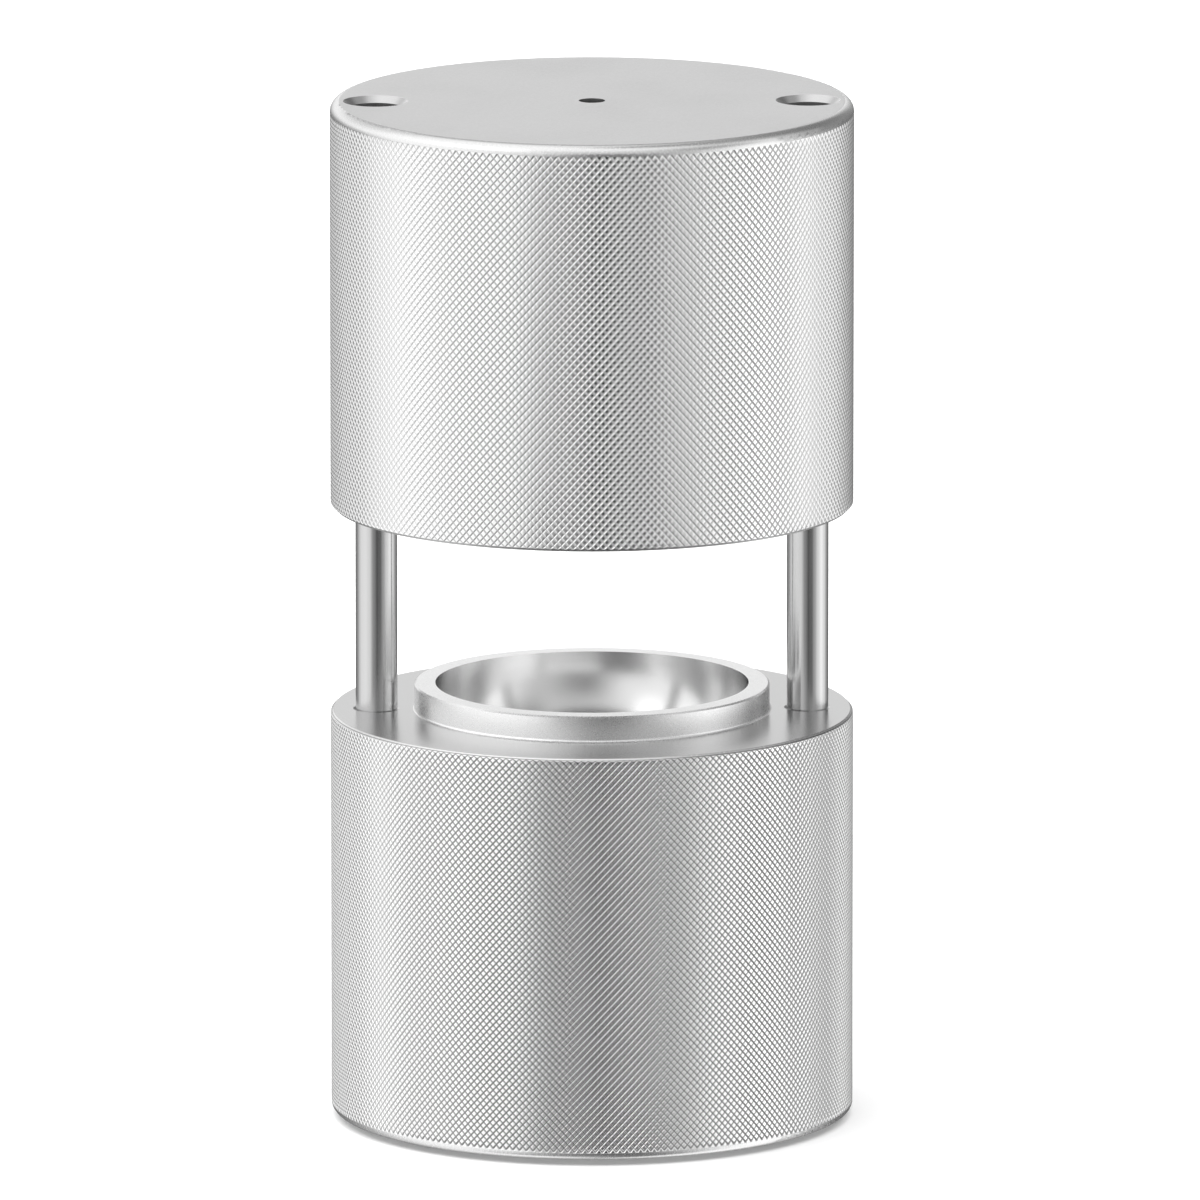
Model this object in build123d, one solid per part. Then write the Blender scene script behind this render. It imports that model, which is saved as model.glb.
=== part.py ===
from build123d import *
import os

# An ice ball press: two heavy aluminium halves on two upright guide rods. Each half holds one
# half of the ball. The lower half stands on rubber feet and carries the rods; the upper half
# slides down them on plain bushes until the two halves meet.
#
# Millimetres. The origin is on the table, on the press's own upright axis. +Z is up, +X runs
# from the left rod to the right rod, and the front faces -Y. The upper half is drawn raised.

# ---------------------------------------------------------------- driving dimensions

mould_diameter = 100.0  # over the crests of the knurl and over the plain lands
mould_height = 78.0  # each half, without the collar
opening_at_rest = 40.0  # from the lower half's top face to the upper half's bottom face
ball_diameter = 60.0

knurl_relief = 0.25  # the knurled band is turned this much under the plain lands
edge_break = 0.3  # small chamfer where a face meets the knurled band
top_rounding = 2.0  # the upper half's top rim
base_rounding = 1.5  # the lower half's bottom edge

collar_diameter = 68.0  # raised ring round the lower half's cavity
collar_height = 5.0
collar_root = 0.5  # fillet where the collar rises from the face
register_gap = 0.3  # between the collar and the recess that drops over it
melt_gap = 0.2  # over the collar when the press is closed, where melt water leaves
recess_lead = 0.9  # chamfer at the mouth of the recess, clear of the collar's root

rod_diameter = 8.0
rod_spacing = 82.5  # centre to centre
rod_length = 100.0
rod_socket_depth = 25.0  # how far a rod stands in the lower half
rod_lead = 1.0  # chamfer that leads the rod into the bushes
rod_foot_break = 0.4  # chamfer on the end in the socket
socket_gap = 0.02  # round a rod in its socket
socket_chamfer = 0.5

guide_bore = 10.0  # through the upper half, and the outside of the bushes
countersink_diameter = 12.5  # at the top of each guide bore, 90 degrees
bore_chamfer = 0.5  # at the bottom of each guide bore
bush_length = 12.0
bush_running_gap = 0.04  # between rod and bush, on the radius
bush_lead = 0.5
lower_bush_at = 1.0  # up from the upper half's bottom face
upper_bush_at = 21.0

vent_diameter = 5.0  # out of the top of the ball
drain_diameter = 5.0  # out of the bottom of the ball

screw_diameter = 5.0
screw_length = 20.0  # under the head
screw_head_diameter = 8.5
screw_head_height = 5.0
hex_key = 4.0  # across flats
hex_depth = 2.5
thread_gap = 0.02  # round the screw in the rod's end, where the thread would be
tapped_depth = 12.0
screw_way = 5.5  # clearance hole through the floor of the socket
socket_floor = 10.0
screw_pit = 11.0  # deep counterbore from beneath
washer_diameter = 10.0
washer_bore = 5.3
washer_thickness = 1.0

foot_diameter = 12.0
foot_height = 3.0
foot_stands_out = 1.0
foot_bevel = 0.6  # round the edge it stands on
foot_circle = 76.0  # the four feet stand on this circle, between the rods
foot_pocket_gap = 0.1  # round a foot in its pocket

# ---------------------------------------------------------------- worked out from those

mould_radius = mould_diameter / 2
band_radius = mould_radius - knurl_relief
ball_radius = ball_diameter / 2
collar_radius = collar_diameter / 2
recess_radius = collar_radius + register_gap
rod_radius = rod_diameter / 2
bush_radius = guide_bore / 2
countersink_depth = (countersink_diameter - guide_bore) / 2

lower_base = foot_stands_out
lower_top = lower_base + mould_height
collar_top = lower_top + collar_height
upper_base = lower_top + opening_at_rest
upper_top = upper_base + mould_height
recess_floor = upper_base + collar_height + melt_gap

lower_ball_centre = collar_top
upper_ball_centre = upper_base + collar_height

socket_base = lower_top - rod_socket_depth
screw_seat = socket_base - socket_floor
washer_base = screw_seat - washer_thickness

sides = {"left": -rod_spacing / 2, "right": rod_spacing / 2}
on_its_end = (Align.CENTER, Align.CENTER, Align.MIN)


# ---------------------------------------------------------------- shared operations


def drill(diameter, bottom, top, places):
    """Bores straight through the part being built, from one height to another."""
    with Locations(*[(x, y, bottom) for x, y in places]):
        Cylinder(diameter / 2, top - bottom, align=on_its_end, mode=Mode.SUBTRACT)


def bevel_hole(low_diameter, high_diameter, bottom, top, places):
    """Cuts a cone from the part being built: a countersink or a chamfered mouth."""
    with Locations(*[(x, y, bottom) for x, y in places]):
        Cone(
            low_diameter / 2,
            high_diameter / 2,
            top - bottom,
            align=on_its_end,
            mode=Mode.SUBTRACT,
        )


def hollow_ball(centre_height):
    """Cuts the ball out of the half that is being built."""
    with Locations((0, 0, centre_height)):
        Sphere(ball_radius, mode=Mode.SUBTRACT)


rod_places = [(x, 0) for x in sides.values()]
middle = [(0, 0)]


# ---------------------------------------------------------------- the two halves


def lower_outline():
    """Half section of the lower block, from the axis outward, up its side and over the collar."""
    land_top = lower_base + base_rounding
    Polyline((0, lower_base), (mould_radius - base_rounding, lower_base))
    RadiusArc(
        (mould_radius - base_rounding, lower_base), (mould_radius, land_top), -base_rounding
    )
    Polyline(
        (mould_radius, land_top),
        (band_radius, land_top + knurl_relief),
        (band_radius, lower_top - edge_break),
        (band_radius - edge_break, lower_top),
        (collar_radius + collar_root, lower_top),
    )
    RadiusArc(
        (collar_radius + collar_root, lower_top),
        (collar_radius, lower_top + collar_root),
        collar_root,
    )
    Polyline(
        (collar_radius, lower_top + collar_root),
        (collar_radius, collar_top - edge_break),
        (collar_radius - edge_break, collar_top),
        (0, collar_top),
        (0, lower_base),
    )


def upper_outline():
    """Half section of the upper block, from the recess floor out to the rim and over the top."""
    land_base = upper_top - top_rounding
    Polyline(
        (0, upper_top),
        (0, recess_floor),
        (recess_radius, recess_floor),
        (recess_radius, upper_base + recess_lead),
        (recess_radius + recess_lead, upper_base),
        (band_radius - edge_break, upper_base),
        (band_radius, upper_base + edge_break),
        (band_radius, land_base - knurl_relief),
        (mould_radius, land_base),
    )
    RadiusArc((mould_radius, land_base), (mould_radius - top_rounding, upper_top), -top_rounding)
    Polyline((mould_radius - top_rounding, upper_top), (0, upper_top))


def turn(outline):
    """Turns a half section round the press's axis."""
    with BuildSketch(Plane.XZ) as section:
        with BuildLine():
            outline()
        make_face()
    revolve(section.sketch, axis=Axis.Z)


def foot_places():
    """Where the four feet stand, by name."""
    reach = foot_circle / 2 / 2**0.5
    return {
        "front_left": (-reach, -reach),
        "front_right": (reach, -reach),
        "rear_left": (-reach, reach),
        "rear_right": (reach, reach),
    }


def lower_mould():
    """The half that stands on the table: collar, half ball, rod sockets, drain and foot pockets."""
    foot_pocket = foot_diameter + 2 * foot_pocket_gap
    with BuildPart() as block:
        turn(lower_outline)
        hollow_ball(lower_ball_centre)
        drill(drain_diameter, lower_base, lower_ball_centre, middle)
        drill(rod_diameter + 2 * socket_gap, socket_base, lower_top, rod_places)
        bevel_hole(
            rod_diameter + 2 * socket_gap,
            rod_diameter + 2 * socket_chamfer,
            lower_top - socket_chamfer,
            lower_top,
            rod_places,
        )
        drill(screw_way, screw_seat, socket_base, rod_places)
        drill(screw_pit, lower_base, screw_seat, rod_places)
        drill(foot_pocket, lower_base, foot_height, foot_places().values())
    return block.part


def upper_mould():
    """The half that slides: recess for the collar, half ball, vent and the two guide bores."""
    with BuildPart() as block:
        turn(upper_outline)
        hollow_ball(upper_ball_centre)
        drill(vent_diameter, upper_ball_centre, upper_top, middle)
        drill(guide_bore, upper_base, upper_top, rod_places)
        bevel_hole(
            guide_bore,
            countersink_diameter,
            upper_top - countersink_depth,
            upper_top,
            rod_places,
        )
        bevel_hole(
            guide_bore + 2 * bore_chamfer,
            guide_bore,
            upper_base,
            upper_base + bore_chamfer,
            rod_places,
        )
    return block.part


# ---------------------------------------------------------------- rods, bushes, fasteners, feet


def guide_rod(x):
    """A plain round rod with a tapped lower end and a chamfer to lead it into the bushes."""
    tapped_diameter = screw_diameter + 2 * thread_gap
    with BuildPart() as rod:
        with Locations((x, 0, socket_base)):
            Cylinder(rod_radius, rod_length, align=on_its_end)
        ends = rod.edges().filter_by(GeomType.CIRCLE).sort_by(Axis.Z)
        chamfer(ends[-1], rod_lead)
        chamfer(ends[0], rod_foot_break)
        drill(tapped_diameter, socket_base, socket_base + tapped_depth, [(x, 0)])
    return rod.part


def bush(x, height):
    """A plain bearing bush, pressed into the guide bore with its ends eased for the rod."""
    bore = rod_diameter + 2 * bush_running_gap
    mouth = bore + 2 * bush_lead
    base = upper_base + height
    top = base + bush_length
    place = [(x, 0)]
    with BuildPart() as sleeve:
        with Locations((x, 0, base)):
            Cylinder(bush_radius, bush_length, align=on_its_end)
        drill(bore, base, top, place)
        bevel_hole(mouth, bore, base, base + bush_lead, place)
        bevel_hole(bore, mouth, top - bush_lead, top, place)
    return sleeve.part


def rod_screw(x):
    """A socket-head screw, head down, that holds the rod from beneath."""
    head_base = washer_base - screw_head_height
    with BuildPart() as screw:
        with Locations((x, 0, head_base)):
            Cylinder(screw_head_diameter / 2, screw_head_height, align=on_its_end)
        with Locations((x, 0, washer_base)):
            Cylinder(screw_diameter / 2, screw_length, align=on_its_end)
        with BuildSketch(Plane.XY.offset(head_base)) as socket:
            with Locations((x, 0)):
                RegularPolygon(hex_key / 2, 6, major_radius=False)
        extrude(socket.sketch, amount=hex_depth, mode=Mode.SUBTRACT)
    return screw.part


def rod_washer(x):
    """The flat washer between the screw's head and the aluminium."""
    with BuildPart() as washer:
        with Locations((x, 0, washer_base)):
            Cylinder(washer_diameter / 2, washer_thickness, align=on_its_end)
        drill(washer_bore, washer_base, screw_seat, [(x, 0)])
    return washer.part


def foot(x, y):
    """A rubber foot, seated in its pocket, that stands a little out of the underside."""
    with BuildPart() as pad:
        with Locations((x, y, 0)):
            Cylinder(foot_diameter / 2, foot_height, align=on_its_end)
        tread = pad.edges().filter_by(GeomType.CIRCLE).sort_by(Axis.Z)[0]
        chamfer(tread, foot_bevel)
    return pad.part


# ---------------------------------------------------------------- write every piece

pieces = {"lower_mould": lower_mould(), "upper_mould": upper_mould()}
for side, x in sides.items():
    pieces[f"{side}_guide_rod"] = guide_rod(x)
    pieces[f"{side}_lower_bush"] = bush(x, lower_bush_at)
    pieces[f"{side}_upper_bush"] = bush(x, upper_bush_at)
    pieces[f"{side}_rod_screw"] = rod_screw(x)
    pieces[f"{side}_rod_washer"] = rod_washer(x)
for corner, (x, y) in foot_places().items():
    pieces[f"foot_{corner}"] = foot(x, y)

os.makedirs("parts", exist_ok=True)
for name, shape in pieces.items():
    export_step(shape, f"parts/{name}.step")
print(len(pieces), "pieces written, height raised", upper_top, "closed", lower_top + mould_height)
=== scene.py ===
# %% [markdown]
# # Ice ball press
# Two heavy aluminium halves stand one above the other on two bright guide rods. Each half has
# half a ball cut into it. The solids come from the frame and keep their size and place. This
# script dresses them: the rolled knurl, the blasted and polished faces, the ground rods, and a
# studio to look at them in.

# %% Load the frame
import math
import random
import bmesh
import bpy
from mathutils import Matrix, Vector


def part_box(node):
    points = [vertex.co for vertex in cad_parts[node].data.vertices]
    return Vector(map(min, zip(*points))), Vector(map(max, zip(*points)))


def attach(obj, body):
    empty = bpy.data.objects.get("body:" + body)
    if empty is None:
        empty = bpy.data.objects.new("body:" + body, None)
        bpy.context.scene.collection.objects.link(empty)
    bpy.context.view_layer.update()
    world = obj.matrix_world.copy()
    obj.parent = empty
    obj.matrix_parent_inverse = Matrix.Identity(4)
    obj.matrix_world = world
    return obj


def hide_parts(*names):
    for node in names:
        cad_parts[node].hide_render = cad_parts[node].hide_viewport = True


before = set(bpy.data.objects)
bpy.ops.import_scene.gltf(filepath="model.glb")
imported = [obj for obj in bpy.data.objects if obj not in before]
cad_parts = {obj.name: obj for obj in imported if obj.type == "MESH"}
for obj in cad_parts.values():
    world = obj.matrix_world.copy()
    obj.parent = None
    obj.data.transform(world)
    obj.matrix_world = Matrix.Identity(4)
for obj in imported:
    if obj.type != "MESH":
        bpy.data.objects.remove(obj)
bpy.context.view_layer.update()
MM = 0.001

# %% [markdown]
# ## Sizes
# A node's box says how wide and how high it is, so most places are read from the frame. What a
# box can't tell, such as how deep the knurled band is turned, is named here in metres.

# %% Read the sizes
upper_low, upper_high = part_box("upper_mould")
lower_low, lower_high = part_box("lower_mould")
rod_low, rod_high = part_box("left_guide_rod")
mould_radius = (upper_high.x - upper_low.x) / 2
rod_offset = -(rod_high.x + rod_low.x) / 2
collar_height = 5 * MM
ball_radius = 30 * MM
vent_radius = 2.5 * MM
bore_radius = 5 * MM
cone_radius = 6.25 * MM  # the countersink at the top of each bore
socket_reach = 4.1 * MM  # just past the wall of a rod socket
knurl_relief = 0.25 * MM
edge_break = 0.3 * MM
top_rounding = 2 * MM
bottom_rounding = 1.5 * MM
band_radius = mould_radius - knurl_relief
lower_face = lower_high.z - collar_height
lower_ball_centre = lower_high.z
upper_ball_centre = upper_low.z + collar_height
print("mould radius", round(mould_radius / MM, 2), "mm, rods", round(2 * rod_offset / MM, 2), "mm apart")

# %% [markdown]
# ## Camera
# The picture is taken from far away with a very long lens, so upright edges stay upright and the
# ellipses of the faces look alike high and low. The camera stands five metres off, a little above
# the object and a hair to the left. It is moved sideways, not turned, to centre the press.

# %% Camera
camera_distance = 5.0
camera_compass = math.radians(-0.76)
camera_height = math.radians(11.1)
slide_right = 1.53 * MM
slide_up = 0.96 * MM
sensor_width = 36  # this and the next in millimetres, as Blender asks for them
focal_length = 784
nearest = 0.1
farthest = 30


def way(compass, height):
    """A direction, by its angle from the front to the right and its height, in radians."""
    return Vector((
        math.sin(compass) * math.cos(height),
        -math.cos(compass) * math.cos(height),
        math.sin(height),
    ))


camera_data = bpy.data.cameras.new("camera")
camera_data.sensor_width = sensor_width
camera_data.lens = focal_length
camera_data.clip_start = nearest
camera_data.clip_end = farthest
camera = bpy.data.objects.new("camera", camera_data)
bpy.context.scene.collection.objects.link(camera)

back = way(camera_compass, camera_height)
right = Vector((0, 0, 1)).cross(back).normalized()
up = back.cross(right)
target = Vector((0, 0, (lower_low.z + upper_high.z) / 2))
camera.location = target + back * camera_distance + right * slide_right + up * slide_up
camera.rotation_euler = back.to_track_quat("Z", "Y").to_euler()
bpy.context.scene.camera = camera
print("camera at", [round(v, 3) for v in camera.location])

# %% [markdown]
# ## Short words for shader nodes
# Node trees read better when each line says what it makes. These helpers add a node, set its
# values and hand back the socket that the next line needs.


# %% Node helpers
def add(tree, kind, **settings):
    """A new node of that kind, with its settings."""
    node = tree.nodes.new(kind)
    for name, value in settings.items():
        setattr(node, name, value)
    return node


def feed(tree, socket, value):
    """Gives a socket a number, a colour or another node's output."""
    if isinstance(value, bpy.types.NodeSocket):
        tree.links.new(value, socket)
    else:
        socket.default_value = value


def calc(tree, operation, *values):
    """A sum on numbers or sockets."""
    node = add(tree, "ShaderNodeMath", operation=operation)
    for socket, value in zip(node.inputs, values):
        feed(tree, socket, value)
    return node.outputs[0]


def ramp_between(tree, value, low, high, start=0.0, end=1.0):
    """A smooth step: start where value is low or less, end where it is high or more."""
    node = add(tree, "ShaderNodeMapRange", interpolation_type="SMOOTHSTEP")
    for name, given in {
        "Value": value, "From Min": low, "From Max": high, "To Min": start, "To Max": end
    }.items():
        feed(tree, node.inputs[name], given)
    return node.outputs["Result"]


print("number helpers: add, feed, calc and ramp_between")

# %% [markdown]
# Most of a finish is two numbers or two colours, mixed by where the surface is dented, worn or
# dirty. Every colour on the press is neutral, so greys have short words of their own.


# %% Blend helpers
def blend(tree, share, first, second):
    """Mixes two numbers by share."""
    node = add(tree, "ShaderNodeMix", data_type="FLOAT")
    feed(tree, node.inputs["Factor"], share)
    feed(tree, node.inputs["A"], first)
    feed(tree, node.inputs["B"], second)
    return node.outputs["Result"]


def blend_colours(tree, share, first, second):
    """Mixes two colours by share. Their sockets share the numbers' names, so they go by place."""
    node = add(tree, "ShaderNodeMix", data_type="RGBA")
    feed(tree, node.inputs["Factor"], share)
    feed(tree, node.inputs[6], first)
    feed(tree, node.inputs[7], second)
    return node.outputs[2]


def grey(level):
    """A neutral colour."""
    return (level, level, level, 1.0)


def greys(tree, share, first, second):
    """Mixes two neutral colours by share."""
    return blend_colours(tree, share, grey(first), grey(second))


print("blend helpers: blend, blend_colours, grey and greys")

# %% [markdown]
# ## Studio
# Polished metal has no look of its own: it shows what stands round it. Product pictures of such
# a thing are taken in a tent of white cloth, with a dark slot where the camera looks in. The tent
# here is the world shader, made of rings of cloth at several heights. Each ring's brightness goes
# by the compass angle, measured from the camera to the right. The dark slot makes the dark stripe
# down the middle of each half, and the bright cloth on both sides makes the two highlights. Lamps
# could stand for the cloth, but each would show in the metal as a patch with an edge.

# %% Cloth of the tent
tent_rings = {  # height in degrees: brightness of the cloth by degrees from the camera
    -66: [
        (-180, 0.40), (-105, 0.92), (-75, 1.25), (-45, 1.05), (-20, 0.90), (0, 0.60), (20, 0.24),
        (37, 0.18), (52, 0.36), (76, 1.10), (110, 1.35), (145, 0.60), (180, 0.40),
    ],
    -59: [
        (-180, 0.40), (-105, 0.92), (-75, 1.10), (-45, 0.50), (-20, 0.30), (0, 0.26), (20, 0.18),
        (37, 0.18), (52, 0.36), (76, 1.10), (110, 1.30), (145, 0.60), (180, 0.40),
    ],
    -11: [
        (-180, 0.14), (-158, 0.18), (-128, 0.32), (-108, 0.78), (-92, 1.08), (-62, 1.16),
        (-40, 1.02), (-16, 0.31), (4, 0.13), (22, 0.14), (38, 0.50), (58, 1.04), (82, 1.42),
        (102, 1.12), (128, 0.42), (150, 0.18), (180, 0.14),
    ],
    11: [
        (-180, 1.12), (-145, 1.00), (-90, 1.15), (-30, 0.95), (4, 0.28), (40, 0.60), (80, 1.15),
        (104, 0.65), (125, 0.24), (155, 0.26), (180, 1.12),
    ],
    32: [
        (-180, 0.34), (-145, 0.75), (-100, 1.20), (-48, 1.65), (-26, 0.88), (-6, 0.74), (30, 0.70),
        (52, 0.32), (70, 0.45), (92, 0.95), (110, 0.48), (130, 0.20), (160, 0.20), (180, 0.34),
    ],
    62: [
        (-180, 0.90), (-130, 1.10), (-60, 1.15), (0, 1.05), (60, 0.90), (100, 0.40), (145, 0.35),
        (180, 0.90),
    ],
}
print("light tent with", len(tent_rings), "rings of cloth")

# %% [markdown]
# A colour ramp turns the compass angle into the brightness of one ring. Between two rings the
# brightness goes over smoothly with the height.

# %% Light tent
world = bpy.data.worlds.new("light_tent")
world.use_nodes = True
bpy.context.scene.world = world
tree = world.node_tree
tree.nodes.clear()
direction = add(tree, "ShaderNodeTexCoord").outputs["Generated"]
parts = add(tree, "ShaderNodeSeparateXYZ")
feed(tree, parts.inputs[0], direction)
toward_camera = calc(tree, "MULTIPLY", parts.outputs["Y"], -1.0)
compass = calc(tree, "ARCTAN2", parts.outputs["X"], toward_camera)
compass_share = calc(tree, "MULTIPLY_ADD", compass, 1 / (2 * math.pi), 0.5)
height = calc(tree, "ARCSINE", parts.outputs["Z"])


def ring_of_cloth(tree, compass_share, levels):
    """The brightness of one ring, from a list of (degrees, brightness)."""
    ramp = add(tree, "ShaderNodeValToRGB")
    ramp.color_ramp.interpolation = "EASE"
    stops = ramp.color_ramp.elements
    while len(stops) < len(levels):
        stops.new(0.5)
    for stop, (degrees, brightness) in zip(stops, levels):
        stop.position = degrees / 360 + 0.5
        stop.color = grey(brightness)
    feed(tree, ramp.inputs["Fac"], compass_share)
    level = add(tree, "ShaderNodeRGBToBW")
    feed(tree, level.inputs[0], ramp.outputs["Color"])
    return level.outputs[0]


ring_heights = list(tent_rings)
tent_level = ring_of_cloth(tree, compass_share, tent_rings[ring_heights[0]])
for below, above in zip(ring_heights, ring_heights[1:]):
    share = ramp_between(tree, height, math.radians(below), math.radians(above))
    tent_level = blend(tree, share, tent_level, ring_of_cloth(tree, compass_share, tent_rings[above]))
print("the tent's tree has", len(tree.nodes), "nodes")

# %% [markdown]
# The dark mouth of the lens shows as a small spot in the cloth. The camera itself sees a plain
# pale backdrop, and only the metal sees the tent.

# %% Lens and backdrop
lens_compass = math.radians(4)
lens_height = math.radians(-11)
lens_core = math.radians(2)
lens_rim = math.radians(5)
lens_level = 0.01
backdrop = 0.93

aim = add(tree, "ShaderNodeVectorMath", operation="DOT_PRODUCT")
feed(tree, aim.inputs[0], direction)
aim.inputs[1].default_value = way(lens_compass, lens_height)
off_lens = calc(tree, "ARCCOSINE", calc(tree, "MINIMUM", aim.outputs["Value"], 1.0))
lens_share = ramp_between(tree, off_lens, lens_core, lens_rim, 1.0, 0.0)

tent = add(tree, "ShaderNodeBackground")
feed(tree, tent.inputs["Color"], blend(tree, lens_share, tent_level, lens_level))
plain = add(tree, "ShaderNodeBackground")
plain.inputs["Color"].default_value = grey(backdrop)
seen = add(tree, "ShaderNodeMixShader")
feed(tree, seen.inputs[0], add(tree, "ShaderNodeLightPath").outputs["Is Camera Ray"])
feed(tree, seen.inputs[1], tent.outputs[0])
feed(tree, seen.inputs[2], plain.outputs[0])
out = add(tree, "ShaderNodeOutputWorld")
feed(tree, out.inputs["Surface"], seen.outputs[0])
bpy.context.scene.view_settings.view_transform = "Standard"
print("backdrop at", backdrop)

# %% [markdown]
# ## Floor
# A pale table top for the press to stand on. The metal doesn't mirror it, because it is hidden
# from glossy rays: the tent's low rings stand for what the metal would see there.

# %% Floor
floor_radius = 2.5
floor_sides = 96
floor_drop = 0.02 * MM  # so that the feet don't share a plane with it

floor_mesh = bpy.data.meshes.new("floor")
rim_angles = [2 * math.pi * i / floor_sides for i in range(floor_sides)]
rim = [(floor_radius * math.cos(angle), floor_radius * math.sin(angle), 0) for angle in rim_angles]
floor_mesh.from_pydata(rim, [], [list(range(floor_sides))])
floor = bpy.data.objects.new("floor", floor_mesh)
bpy.context.scene.collection.objects.link(floor)
floor.location.z = -floor_drop
floor.visible_glossy = False
print("floor", 2 * floor_radius, "m across")

# %% [markdown]
# **Table top.** Dull and faintly mottled. It fades out towards its rim, so that no edge shows
# against the backdrop. From beneath it is clear, so that the feet and the screws can be looked at.

# %% Finish: table top
fade_start = 1.2
fade_end = 2.45
mottle_scale = 9

table = bpy.data.materials.new("pale_table")
table.use_nodes = True
tree = table.node_tree
tree.nodes.clear()
place = add(tree, "ShaderNodeTexCoord").outputs["Object"]
distance = add(tree, "ShaderNodeVectorMath", operation="LENGTH")
feed(tree, distance.inputs[0], place)
fade = ramp_between(tree, distance.outputs["Value"], fade_start, fade_end)
beneath = add(tree, "ShaderNodeNewGeometry").outputs["Backfacing"]
mottle = add(tree, "ShaderNodeTexNoise")
mottle.inputs["Scale"].default_value = mottle_scale
feed(tree, mottle.inputs["Vector"], place)
top = add(tree, "ShaderNodeBsdfDiffuse")
feed(tree, top.inputs["Color"], greys(tree, mottle.outputs["Fac"], 0.90, 0.91))
mix = add(tree, "ShaderNodeMixShader")
feed(tree, mix.inputs[0], calc(tree, "MAXIMUM", fade, beneath))
feed(tree, mix.inputs[1], top.outputs[0])
feed(tree, mix.inputs[2], add(tree, "ShaderNodeBsdfTransparent").outputs[0])
out = add(tree, "ShaderNodeOutputMaterial")
feed(tree, out.inputs["Surface"], mix.outputs[0])
floor_mesh.materials.append(table)
print("table top fades from", fade_start, "to", fade_end, "m")

# %% [markdown]
# **Lamp.** One very wide lamp straight above lights the table and the dull parts, with a shadow
# too soft to have an edge. It is hidden from glossy rays too, so the metal shows the tent alone.

# %% Soft lamp
lamp_strength = 2.8
lamp_width = math.radians(100)

lamp_data = bpy.data.lights.new("soft_lamp", "SUN")
lamp_data.energy = lamp_strength
lamp_data.angle = lamp_width
lamp = bpy.data.objects.new("soft_lamp", lamp_data)
lamp.visible_glossy = False
bpy.context.scene.collection.objects.link(lamp)
print("lamp strength", lamp_strength)

# %% [markdown]
# ## Effects that several finishes share
# Each is a node group with named inputs and outputs, built once. They read the piece's own
# coordinates, so an effect stays put when the upper half slides.


# %% Node group helpers
def start_group(name, inputs, outputs):
    """An empty node group with number sockets: inputs is {name: default}, outputs a list."""
    group = bpy.data.node_groups.new(name, "ShaderNodeTree")
    for label, default in inputs.items():
        socket = group.interface.new_socket(name=label, in_out="INPUT", socket_type="NodeSocketFloat")
        socket.default_value = default
    for label in outputs:
        group.interface.new_socket(name=label, in_out="OUTPUT", socket_type="NodeSocketFloat")
    given = add(group, "NodeGroupInput")
    result = add(group, "NodeGroupOutput")
    return group, given.outputs, result.inputs


def place_group(tree, group, **values):
    """Puts a group into a tree. Underscores in a value's name stand for spaces."""
    node = add(tree, "ShaderNodeGroup", node_tree=group)
    for name, value in values.items():
        feed(tree, node.inputs[name.replace("_", " ")], value)
    return node.outputs


def own_place(tree):
    """The point on the piece, in metres."""
    return add(tree, "ShaderNodeTexCoord").outputs["Object"]


def noise(tree, place, size, detail=2.0):
    """Cloudy values from 0 to 1, with lumps of that size in metres."""
    node = add(tree, "ShaderNodeTexNoise")
    feed(tree, node.inputs["Vector"], place)
    feed(tree, node.inputs["Scale"], calc(tree, "DIVIDE", 1.0, size))
    node.inputs["Detail"].default_value = detail
    node.inputs["Roughness"].default_value = 0.5
    return node.outputs["Fac"]


print("group helpers: start_group, place_group, own_place and noise")

# %% [markdown]
# **Blast grain.** Glass beads leave a skin of tiny dents, a few tenths of a millimetre across.
# Two sizes of noise, one fine and one coarser, stand for them. The same noise speckles the shine.

# %% Group: blast grain
coarse_to_fine = 2.7
coarse_share = 0.35
speckle_from, speckle_to = 0.35, 0.65

blast_grain, given, result = start_group(
    "blast_grain", {"Grain Size": 0.2 * MM}, ["Height", "Speckle"]
)
tree = blast_grain
place = own_place(tree)
fine = noise(tree, place, given["Grain Size"])
coarse = noise(tree, place, calc(tree, "MULTIPLY", given["Grain Size"], coarse_to_fine))
height = blend(tree, coarse_share, fine, coarse)
feed(tree, result["Height"], height)
feed(tree, result["Speckle"], ramp_between(tree, height, speckle_from, speckle_to))
print("blast grain has", len(tree.nodes), "nodes")

# %% [markdown]
# **Tool rings.** A lathe tool leaves a very fine spiral. On a flat face it shows as rings round
# the axis, and on a wall or in a bore as rings up the axis. The group gives both, and the finish
# picks the one that it needs.

# %% Group: tool rings
uneven_size = 9 * MM

tool_rings, given, result = start_group(
    "tool_rings", {"Feed": 0.15 * MM}, ["Face Height", "Wall Height", "Unevenness"]
)
tree = tool_rings
place = own_place(tree)
split = add(tree, "ShaderNodeSeparateXYZ")
feed(tree, split.inputs[0], place)
squares = [calc(tree, "MULTIPLY", split.outputs[axis], split.outputs[axis]) for axis in ("X", "Y")]
from_axis = calc(tree, "SQRT", calc(tree, "ADD", *squares))
for label, along in {"Face Height": from_axis, "Wall Height": split.outputs["Z"]}.items():
    turns = calc(tree, "DIVIDE", along, given["Feed"])
    level = add(tree, "ShaderNodeTexNoise", noise_dimensions="1D")
    feed(tree, level.inputs["W"], turns)
    level.inputs["Scale"].default_value = 1.0
    level.inputs["Detail"].default_value = 3.0
    feed(tree, result[label], level.outputs["Fac"])
feed(tree, result["Unevenness"], noise(tree, place, uneven_size))
print("tool rings have", len(tree.nodes), "nodes")

# %% [markdown]
# **Handling.** Aluminium that is picked up often gets faint cloudy patches. They show only in how
# sharp the reflection is, and on the feet in how dusty the rubber looks.

# %% Group: handling
smudge_from, smudge_to = 0.4, 0.7

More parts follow.
